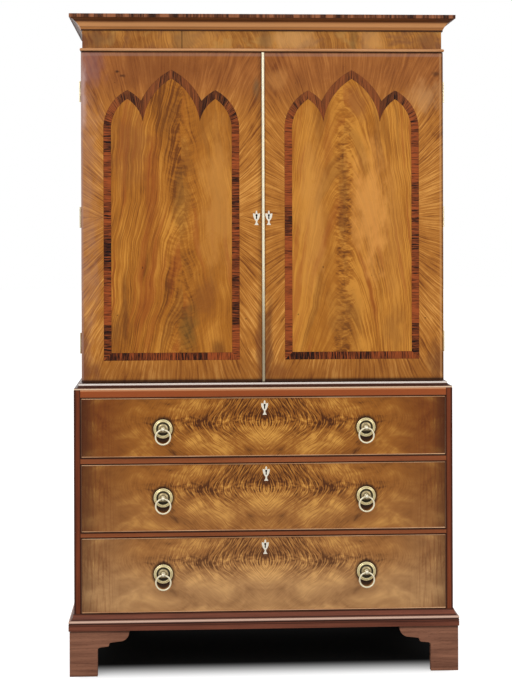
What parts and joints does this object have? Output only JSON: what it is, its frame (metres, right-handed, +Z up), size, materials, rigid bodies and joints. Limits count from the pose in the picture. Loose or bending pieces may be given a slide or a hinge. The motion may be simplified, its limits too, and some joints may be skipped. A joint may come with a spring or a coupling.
{
  "type": "linen press",
  "caption": "Mahogany linen press: cupboard with sliding trays behind two arched-banded doors, over a chest of long drawers with ring pulls, on bracket feet.",
  "frame": {"origin": "on the floor, under the middle of the press's overall box", "axes": "+X to the press's right as seen from the front, -Y to the front, +Z up"},
  "size_m": [1.197, 0.58, 2.0185],
  "materials": {
    "flame_veneer": "french polished flame mahogany",
    "banding": "french polished rosewood",
    "drawer_veneer": "french polished plum-figured mahogany",
    "carcase_wood": "french polished straight-grained mahogany",
    "moulding_wood": "french polished mahogany, run across the grain",
    "foot_wood": "worn polished mahogany",
    "lining_wood": "bare oak",
    "back_wood": "bare pine, darkened",
    "brass": "polished, worn",
    "bone": "polished bone",
    "lock_steel": "dull"
  },
  "bodies": {
    "press": {"cornice_moulding": "moulding_wood", "cornice_crossbanding": "moulding_wood", "cornice_frame": "carcase_wood", "frieze_bead": "moulding_wood", "cupboard_sides": "carcase_wood", "cupboard_top_and_bottom": "lining_wood", "cupboard_back": "back_wood", "tray_bearers": "lining_wood", "carcase_hinges_and_pins": "brass", "waist_moulding": "moulding_wood", "chest_sides": "carcase_wood", "chest_top_and_bottom": "lining_wood", "drawer_rails": "carcase_wood", "runners_and_dust_boards": "lining_wood", "chest_back": "back_wood", "plinth_moulding": "moulding_wood", "front_feet": "foot_wood", "back_feet": "foot_wood"},
    "left_door": {"left_door_leaf": "flame_veneer", "left_door_banding": "banding", "left_door_escutcheon": "bone", "left_door_hinge_leaves": "brass"},
    "right_door": {"right_door_leaf": "flame_veneer", "right_door_banding": "banding", "right_door_escutcheon": "bone", "right_door_hinge_leaves": "brass", "astragal": "brass", "door_lock_case": "lock_steel"},
    "door_bolt": {"door_lock_bolt": "lock_steel"},
    "drawer_1": {"drawer_1_front": "drawer_veneer", "drawer_1_cockbead": "carcase_wood", "drawer_1_sides_and_bottom": "lining_wood", "drawer_1_escutcheon": "bone", "drawer_1_handle_plates": "brass", "drawer_1_lock_case": "lock_steel"},
    "drawer_1_bolt": {"drawer_1_lock_bolt": "lock_steel"},
    "drawer_1_left_ring": {"drawer_1_left_ring": "brass"},
    "drawer_1_right_ring": {"drawer_1_right_ring": "brass"},
    "drawer_2": {"drawer_2_front": "drawer_veneer", "drawer_2_cockbead": "carcase_wood", "drawer_2_sides_and_bottom": "lining_wood", "drawer_2_escutcheon": "bone", "drawer_2_handle_plates": "brass", "drawer_2_lock_case": "lock_steel"},
    "drawer_2_bolt": {"drawer_2_lock_bolt": "lock_steel"},
    "drawer_2_left_ring": {"drawer_2_left_ring": "brass"},
    "drawer_2_right_ring": {"drawer_2_right_ring": "brass"},
    "drawer_3": {"drawer_3_front": "drawer_veneer", "drawer_3_cockbead": "carcase_wood", "drawer_3_sides_and_bottom": "lining_wood", "drawer_3_escutcheon": "bone", "drawer_3_handle_plates": "brass", "drawer_3_lock_case": "lock_steel"},
    "drawer_3_bolt": {"drawer_3_lock_bolt": "lock_steel"},
    "drawer_3_left_ring": {"drawer_3_left_ring": "brass"},
    "drawer_3_right_ring": {"drawer_3_right_ring": "brass"},
    "linen_tray_1": {"linen_tray_1": "lining_wood"},
    "linen_tray_2": {"linen_tray_2": "lining_wood"},
    "linen_tray_3": {"linen_tray_3": "lining_wood"},
    "linen_tray_4": {"linen_tray_4": "lining_wood"}
  },
  "joints": [
    {"name": "left_door_hinge", "type": "hinge", "parent": "press", "child": "left_door", "pos_m": [-0.5627, -0.2245, 1.4], "axis": [0, 0, -1], "range_deg": [0, 175]},
    {"name": "right_door_hinge", "type": "hinge", "parent": "press", "child": "right_door", "pos_m": [0.5627, -0.2245, 1.4], "axis": [0, 0, 1], "range_deg": [0, 175]},
    {"name": "door_bolt_slide", "type": "slide", "parent": "right_door", "child": "door_bolt", "axis": [-1, 0, 0], "range_m": [0, 0.008]},
    {"name": "drawer_1_slide", "type": "slide", "parent": "press", "child": "drawer_1", "axis": [0, -1, 0], "range_m": [0, 0.4]},
    {"name": "drawer_1_bolt_slide", "type": "slide", "parent": "drawer_1", "child": "drawer_1_bolt", "axis": [0, 0, 1], "range_m": [0, 0.008]},
    {"name": "drawer_1_left_ring_swing", "type": "hinge", "parent": "drawer_1", "child": "drawer_1_left_ring", "pos_m": [-0.3104, -0.2835, 0.74825], "axis": [-1, 0, 0], "range_deg": [-10, 172]},
    {"name": "drawer_1_right_ring_swing", "type": "hinge", "parent": "drawer_1", "child": "drawer_1_right_ring", "pos_m": [0.3136, -0.2835, 0.74825], "axis": [-1, 0, 0], "range_deg": [-10, 172]},
    {"name": "drawer_2_slide", "type": "slide", "parent": "press", "child": "drawer_2", "axis": [0, -1, 0], "range_m": [0, 0.4]},
    {"name": "drawer_2_bolt_slide", "type": "slide", "parent": "drawer_2", "child": "drawer_2_bolt", "axis": [0, 0, 1], "range_m": [0, 0.008]},
    {"name": "drawer_2_left_ring_swing", "type": "hinge", "parent": "drawer_2", "child": "drawer_2_left_ring", "pos_m": [-0.3104, -0.2835, 0.53725], "axis": [-1, 0, 0], "range_deg": [-10, 172]},
    {"name": "drawer_2_right_ring_swing", "type": "hinge", "parent": "drawer_2", "child": "drawer_2_right_ring", "pos_m": [0.3136, -0.2835, 0.53725], "axis": [-1, 0, 0], "range_deg": [-10, 172]},
    {"name": "drawer_3_slide", "type": "slide", "parent": "press", "child": "drawer_3", "axis": [0, -1, 0], "range_m": [0, 0.4]},
    {"name": "drawer_3_bolt_slide", "type": "slide", "parent": "drawer_3", "child": "drawer_3_bolt", "axis": [0, 0, 1], "range_m": [0, 0.008]},
    {"name": "drawer_3_left_ring_swing", "type": "hinge", "parent": "drawer_3", "child": "drawer_3_left_ring", "pos_m": [-0.3104, -0.2835, 0.3045], "axis": [-1, 0, 0], "range_deg": [-10, 172]},
    {"name": "drawer_3_right_ring_swing", "type": "hinge", "parent": "drawer_3", "child": "drawer_3_right_ring", "pos_m": [0.3136, -0.2835, 0.3045], "axis": [-1, 0, 0], "range_deg": [-10, 172]},
    {"name": "linen_tray_1_slide", "type": "slide", "parent": "press", "child": "linen_tray_1", "axis": [0, -1, 0], "range_m": [0, 0.025]},
    {"name": "linen_tray_2_slide", "type": "slide", "parent": "press", "child": "linen_tray_2", "axis": [0, -1, 0], "range_m": [0, 0.025]},
    {"name": "linen_tray_3_slide", "type": "slide", "parent": "press", "child": "linen_tray_3", "axis": [0, -1, 0], "range_m": [0, 0.025]},
    {"name": "linen_tray_4_slide", "type": "slide", "parent": "press", "child": "linen_tray_4", "axis": [0, -1, 0], "range_m": [0, 0.025]}
  ]
}
